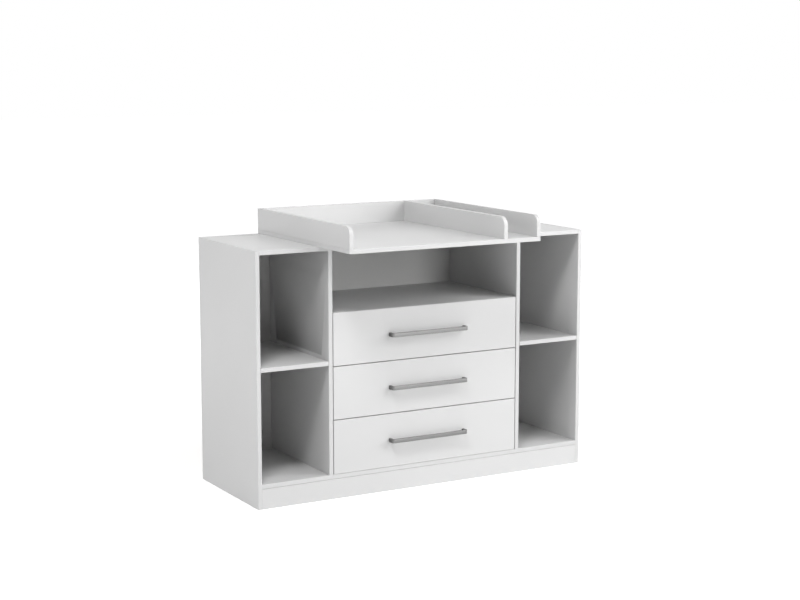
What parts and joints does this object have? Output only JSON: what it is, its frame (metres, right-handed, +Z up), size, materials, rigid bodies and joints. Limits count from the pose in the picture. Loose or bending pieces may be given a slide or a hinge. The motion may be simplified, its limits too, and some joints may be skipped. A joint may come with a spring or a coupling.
{
  "type": "changing dresser",
  "caption": "Board-built changing dresser: inset drawers under an open compartment, between open shelf towers, with a lift-off changing top that has a side compartment.",
  "frame": {"origin": "on the floor, midway along the width and midway along the overall depth (the changing top's depth)", "axes": "+X to the right seen from the front, +Y to the back, +Z up; the drawers open towards -Y"},
  "size_m": [1.41, 0.75, 1.037],
  "materials": {
    "coated_board": "white melamine-faced chipboard with matching edge band, satin",
    "drawer_board": "white coated chipboard of the drawer boxes, satin",
    "hardboard": "white lacquered hardboard, matt",
    "beech": "fluted beech, raw",
    "satin_metal": "satin grey metal, fine brushed",
    "zinc_alloy": "die-cast zinc alloy, dull",
    "zinc_plated_steel": "bright zinc-plated steel",
    "coated_rail_steel": "white epoxy-coated sheet steel",
    "nylon": "natural nylon, moulded",
    "white_plastic": "white extruded plastic"
  },
  "bodies": {
    "carcass": {"back_panel_joiners": "white_plastic", "bottom_board": "coated_board", "carcass_cam_bolts": "zinc_plated_steel", "carcass_cam_locks": "zinc_alloy", "carcass_dowels": "beech", "carcass_screws": "zinc_plated_steel", "compartment_shelf": "coated_board", "front_plinth": "coated_board", "left_back_panel": "hardboard", "left_cabinet_rails": "coated_rail_steel", "left_outer_side": "coated_board", "left_partition": "coated_board", "left_tower_shelf": "coated_board", "middle_back_panel": "hardboard", "rear_plinth": "coated_board", "right_back_panel": "hardboard", "right_cabinet_rails": "coated_rail_steel", "right_outer_side": "coated_board", "right_partition": "coated_board", "right_tower_shelf": "coated_board", "shelf_pins": "zinc_plated_steel", "top_board": "coated_board", "wall_brackets": "zinc_plated_steel"},
    "bottom_drawer": {"bottom_drawer_back": "drawer_board", "bottom_drawer_bottom": "hardboard", "bottom_drawer_fittings": "zinc_plated_steel", "bottom_drawer_front": "coated_board", "bottom_drawer_handle": "satin_metal", "bottom_drawer_left_side": "drawer_board", "bottom_drawer_rails": "coated_rail_steel", "bottom_drawer_right_side": "drawer_board"},
    "bottom_cabinet_rollers": {"bottom_cabinet_rollers": "nylon"},
    "bottom_drawer_rollers": {"bottom_drawer_rollers": "nylon"},
    "middle_drawer": {"middle_drawer_back": "drawer_board", "middle_drawer_bottom": "hardboard", "middle_drawer_fittings": "zinc_plated_steel", "middle_drawer_front": "coated_board", "middle_drawer_handle": "satin_metal", "middle_drawer_left_side": "drawer_board", "middle_drawer_rails": "coated_rail_steel", "middle_drawer_right_side": "drawer_board"},
    "middle_cabinet_rollers": {"middle_cabinet_rollers": "nylon"},
    "middle_drawer_rollers": {"middle_drawer_rollers": "nylon"},
    "top_drawer": {"top_drawer_back": "drawer_board", "top_drawer_bottom": "hardboard", "top_drawer_fittings": "zinc_plated_steel", "top_drawer_front": "coated_board", "top_drawer_handle": "satin_metal", "top_drawer_left_side": "drawer_board", "top_drawer_rails": "coated_rail_steel", "top_drawer_right_side": "drawer_board"},
    "top_cabinet_rollers": {"top_cabinet_rollers": "nylon"},
    "top_drawer_rollers": {"top_drawer_rollers": "nylon"},
    "changing_top": {"changing_top_back_board": "coated_board", "changing_top_base": "coated_board", "changing_top_divider": "coated_board", "changing_top_dowels": "beech", "changing_top_left_board": "coated_board", "changing_top_right_board": "coated_board", "changing_top_screws": "zinc_plated_steel"}
  },
  "joints": [
    {"name": "bottom_drawer_slide", "type": "slide", "parent": "carcass", "child": "bottom_drawer", "axis": [0, -1, 0], "range_m": [0, 0.34]},
    {"name": "bottom_cabinet_roller_spin", "type": "hinge", "parent": "carcass", "child": "bottom_cabinet_rollers", "pos_m": [0, -0.102, 0.1275], "axis": [1, 0, 0], "range_deg": [0, 2300]},
    {"name": "bottom_drawer_roller_spin", "type": "hinge", "parent": "bottom_drawer", "child": "bottom_drawer_rollers", "pos_m": [0, 0.322, 0.1275], "axis": [1, 0, 0], "range_deg": [0, 2300]},
    {"name": "middle_drawer_slide", "type": "slide", "parent": "carcass", "child": "middle_drawer", "axis": [0, -1, 0], "range_m": [0, 0.34]},
    {"name": "middle_cabinet_roller_spin", "type": "hinge", "parent": "carcass", "child": "middle_cabinet_rollers", "pos_m": [0, -0.102, 0.3305], "axis": [1, 0, 0], "range_deg": [0, 2300]},
    {"name": "middle_drawer_roller_spin", "type": "hinge", "parent": "middle_drawer", "child": "middle_drawer_rollers", "pos_m": [0, 0.322, 0.3305], "axis": [1, 0, 0], "range_deg": [0, 2300]},
    {"name": "top_drawer_slide", "type": "slide", "parent": "carcass", "child": "top_drawer", "axis": [0, -1, 0], "range_m": [0, 0.34]},
    {"name": "top_cabinet_roller_spin", "type": "hinge", "parent": "carcass", "child": "top_cabinet_rollers", "pos_m": [0, -0.102, 0.5305], "axis": [1, 0, 0], "range_deg": [0, 2300]},
    {"name": "top_drawer_roller_spin", "type": "hinge", "parent": "top_drawer", "child": "top_drawer_rollers", "pos_m": [0, 0.322, 0.5305], "axis": [1, 0, 0], "range_deg": [0, 2300]},
    {"name": "changing_top_lift", "type": "slide", "parent": "carcass", "child": "changing_top", "axis": [0, 0, 1], "range_m": [0, 0.15]}
  ],
  "couplings": [
    {"joint": "bottom_cabinet_roller_spin", "follows": "bottom_drawer_slide", "rad_per_m": 117.65},
    {"joint": "bottom_drawer_roller_spin", "follows": "bottom_drawer_slide", "rad_per_m": 117.65},
    {"joint": "middle_cabinet_roller_spin", "follows": "middle_drawer_slide", "rad_per_m": 117.65},
    {"joint": "middle_drawer_roller_spin", "follows": "middle_drawer_slide", "rad_per_m": 117.65},
    {"joint": "top_cabinet_roller_spin", "follows": "top_drawer_slide", "rad_per_m": 117.65},
    {"joint": "top_drawer_roller_spin", "follows": "top_drawer_slide", "rad_per_m": 117.65}
  ]
}
